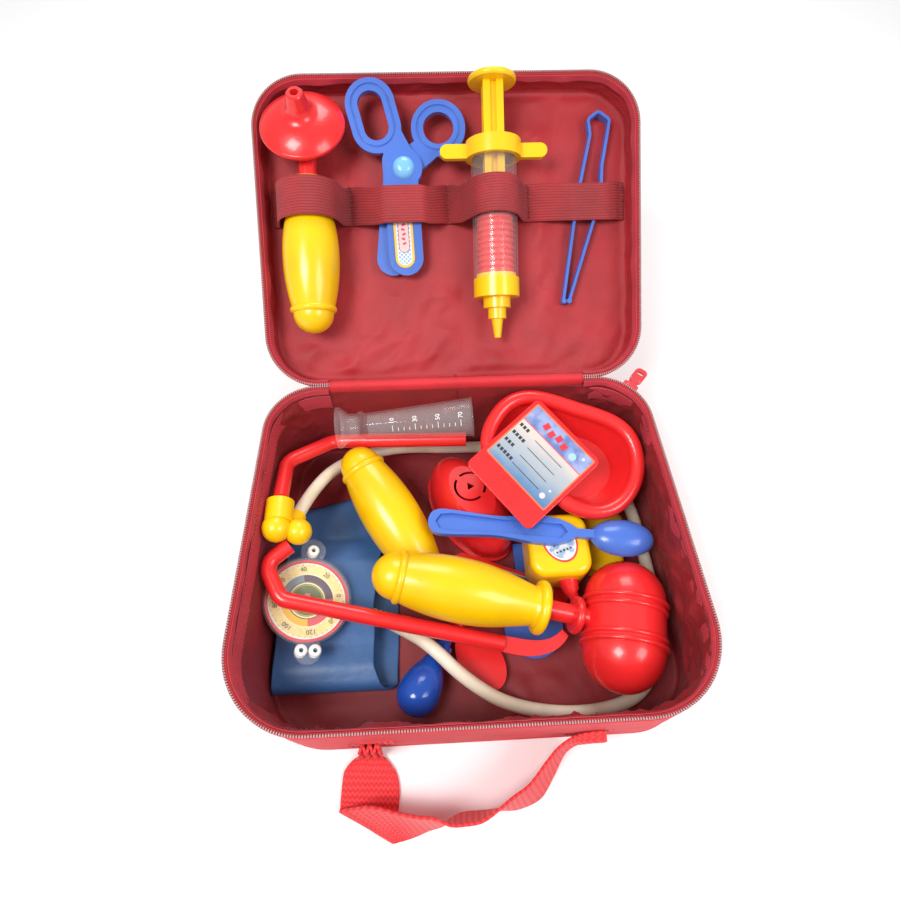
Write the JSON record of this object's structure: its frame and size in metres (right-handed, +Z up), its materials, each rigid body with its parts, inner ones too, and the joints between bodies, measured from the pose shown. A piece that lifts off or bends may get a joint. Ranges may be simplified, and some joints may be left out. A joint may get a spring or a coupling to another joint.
{
  "type": "toy doctor case",
  "caption": "Zipped fabric play case lying open, with toy medical instruments in its lid and base and a webbing carry handle.",
  "frame": {"origin": "on the resting surface under the middle of the base", "axes": "+X to the right along the hinge line, +Y from the front of the base to the open lid, +Z up"},
  "size_m": [0.2899, 0.4681, 0.2096],
  "materials": {
    "case_cloth": "woven polyester with a soft twill sheen",
    "lining_board": "thin shiny lining cloth",
    "zip_tape": "woven zip tape and fine coil",
    "zip_slider": "painted metal",
    "webbing": "ribbed herringbone webbing",
    "elastic": "ribbed elastic",
    "yellow_plastic": "glossy moulded plastic",
    "red_plastic": "glossy moulded plastic",
    "blue_plastic": "glossy moulded plastic",
    "light_blue_plastic": "glossy moulded plastic",
    "white_plastic": "glossy moulded plastic",
    "bulb_plastic": "glossy moulded plastic",
    "clear_plastic": "clear moulded plastic",
    "hose_rubber": "cream soft hose",
    "cuff_vinyl": "satin vinyl sheet",
    "dial_card": "printed card",
    "label_film": "printed sticker"
  },
  "bodies": {
    "base": {"base_shell": "case_cloth", "base_board": "lining_board", "base_zip": "zip_tape", "hinge_strip": "case_cloth", "zip_slider": "zip_slider", "handle_tab_left": "webbing", "handle_tab_right": "webbing", "mirror_handle": "yellow_plastic", "mirror_head": "red_plastic", "sth_yoke": "yellow_plastic", "sth_arm_upper": "red_plastic", "sth_arm_lower": "red_plastic", "sth_hose": "hose_rubber", "sth_chest": "yellow_plastic", "cuff": "cuff_vinyl", "gauge_back": "red_plastic", "gauge_cover": "clear_plastic", "gauge_rivets": "white_plastic", "pump_bulb": "bulb_plastic", "spoon": "blue_plastic", "mask": "red_plastic", "ear_body": "yellow_plastic", "ear_label": "label_film", "ear_nozzle": "red_plastic", "bottle": "yellow_plastic", "stick": "red_plastic", "paddle": "blue_plastic", "beaker": "clear_plastic"},
    "lid": {"lid_shell": "case_cloth", "lid_board": "lining_board", "lid_zip": "zip_tape", "elastic_strap": "elastic", "scope_handle": "yellow_plastic", "scope_head": "red_plastic", "scissor_front": "blue_plastic", "scissor_pin": "light_blue_plastic", "scissor_label": "label_film", "syringe_barrel": "clear_plastic", "syringe_collar": "yellow_plastic", "syringe_nozzle": "yellow_plastic", "syringe_column": "red_plastic", "tweezers": "blue_plastic"},
    "handle": {"carry_handle": "webbing"},
    "puller": {"zip_puller": "zip_slider"},
    "scissor_blade": {"scissor_back": "blue_plastic"},
    "plunger": {"syringe_plunger": "yellow_plastic"},
    "hammer": {"hammer_handle": "yellow_plastic", "hammer_head": "red_plastic"},
    "dish": {"kidney_dish": "red_plastic"},
    "card": {"id_card": "red_plastic", "card_label": "label_film"},
    "dial": {"gauge_dial": "dial_card"}
  },
  "joints": [
    {"name": "lid_hinge", "type": "hinge", "parent": "base", "child": "lid", "pos_m": [0, 0.11, 0.088], "axis": [-1, 0, 0], "range_deg": [-149.3, 0]},
    {"name": "handle_swing", "type": "hinge", "parent": "base", "child": "handle", "pos_m": [0, -0.1156, 0.038], "axis": [-1, 0, 0], "range_deg": [0, 75]},
    {"name": "puller_swing", "type": "hinge", "parent": "base", "child": "puller", "pos_m": [0.12652, 0.10718, 0.083], "axis": [-0.7431, 0.6691, 0], "range_deg": [0, 80]},
    {"name": "blade_pivot", "type": "hinge", "parent": "lid", "child": "scissor_blade", "pos_m": [-0.032, 0.24291, 0.15696], "axis": [0, -0.5821, 0.8131], "range_deg": [0, 9]},
    {"name": "plunger_slide", "type": "slide", "parent": "lid", "child": "plunger", "axis": [0, -0.8231, -0.5678], "range_m": [0, 0.028]},
    {"name": "hammer_lift", "type": "slide", "parent": "base", "child": "hammer", "axis": [0, -0.148, 0.989], "range_m": [0, 0.06]},
    {"name": "dish_lift", "type": "slide", "parent": "base", "child": "dish", "axis": [0, 0, 1], "range_m": [0, 0.05]},
    {"name": "card_lift", "type": "slide", "parent": "dish", "child": "card", "axis": [0, 0, 1], "range_m": [0, 0.03]},
    {"name": "dial_turn", "type": "hinge", "parent": "base", "child": "dial", "pos_m": [-0.106, -0.027, 0.038], "axis": [0.309, 0, 0.9511], "range_deg": [-20, 20]}
  ]
}
